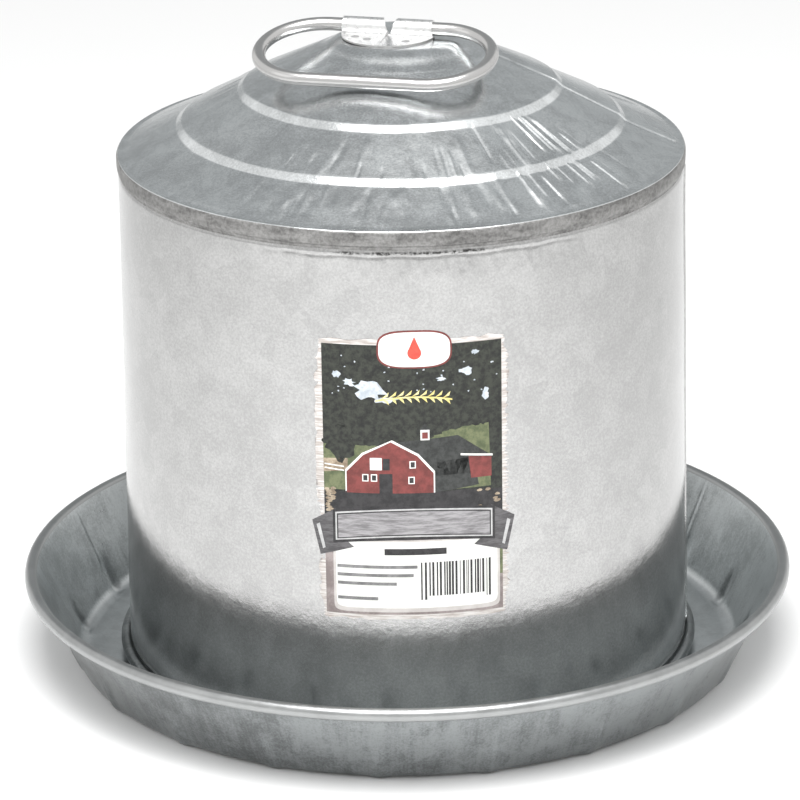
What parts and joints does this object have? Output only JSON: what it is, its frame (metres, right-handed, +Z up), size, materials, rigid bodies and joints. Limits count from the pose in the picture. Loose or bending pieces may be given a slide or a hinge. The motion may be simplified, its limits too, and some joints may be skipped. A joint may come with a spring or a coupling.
{
  "type": "poultry waterer fount",
  "caption": "Double-wall galvanised poultry waterer: a round drinking pan with a fixed inner tank, and a lift-off conical-topped shell with a folding wire carry handle.",
  "frame": {"origin": "centre of the pan's underside, on the ground", "axes": "+Z up along the fount's axis, -Y towards the front, where the handle lies at rest, +X along the handle's hinge"},
  "size_m": [0.3174, 0.3174, 0.2684],
  "materials": {
    "galvanised_sheet": "dull hot-dipped zinc, faintly mottled",
    "galvanised_pan": "darker zinc with radial draw streaks",
    "plated_steel": "bright zinc plate",
    "zinc_wire": "bright zinc-plated drawn wire",
    "steel_wire": "plain drawn wire",
    "solder": "dull tin-lead-free solder",
    "brass": "plain turned brass",
    "rubber": "matte black rubber",
    "sealing_compound": "soft grey seam compound",
    "label_paper": "printed paper, satin"
  },
  "bodies": {
    "base": {"pan": "galvanised_pan", "pan_rim_wire": "steel_wire", "tank_wall": "galvanised_sheet", "tank_bottom": "galvanised_sheet", "tank_foot_solder": "solder", "tank_rim_wire": "steel_wire", "tank_lock_lugs": "plated_steel", "valve_seat": "brass", "valve_bracket": "plated_steel", "bracket_rivets": "plated_steel", "valve_pin": "steel_wire"},
    "valve": {"valve_lever": "plated_steel", "valve_pad": "rubber", "pad_rivet": "brass", "valve_springs": "steel_wire"},
    "shell": {"shell_wall": "galvanised_sheet", "shell_mouth_wire": "steel_wire", "shell_lock_lugs": "plated_steel", "seam_compound": "sealing_compound", "cone_top": "galvanised_sheet", "crown_cap": "galvanised_sheet", "handle_clip": "plated_steel", "label": "label_paper"},
    "handle": {"carry_handle": "zinc_wire"}
  },
  "joints": [
    {"name": "shell_lift", "type": "slide", "parent": "base", "child": "shell", "axis": [0, 0, 1], "range_m": [0, 0.218]},
    {"name": "handle_fold", "type": "hinge", "parent": "shell", "child": "handle", "pos_m": [-0.0043, 0, 0.26489], "axis": [-1, 0, 0], "range_deg": [0, 155]},
    {"name": "valve_swing", "type": "hinge", "parent": "base", "child": "valve", "pos_m": [0, -0.11015, 0.03], "axis": [1, 0, 0], "range_deg": [0, 8]}
  ],
  "couplings": [
    {"joint": "valve_swing", "follows": "shell_lift", "rad_per_m": 0.64}
  ]
}
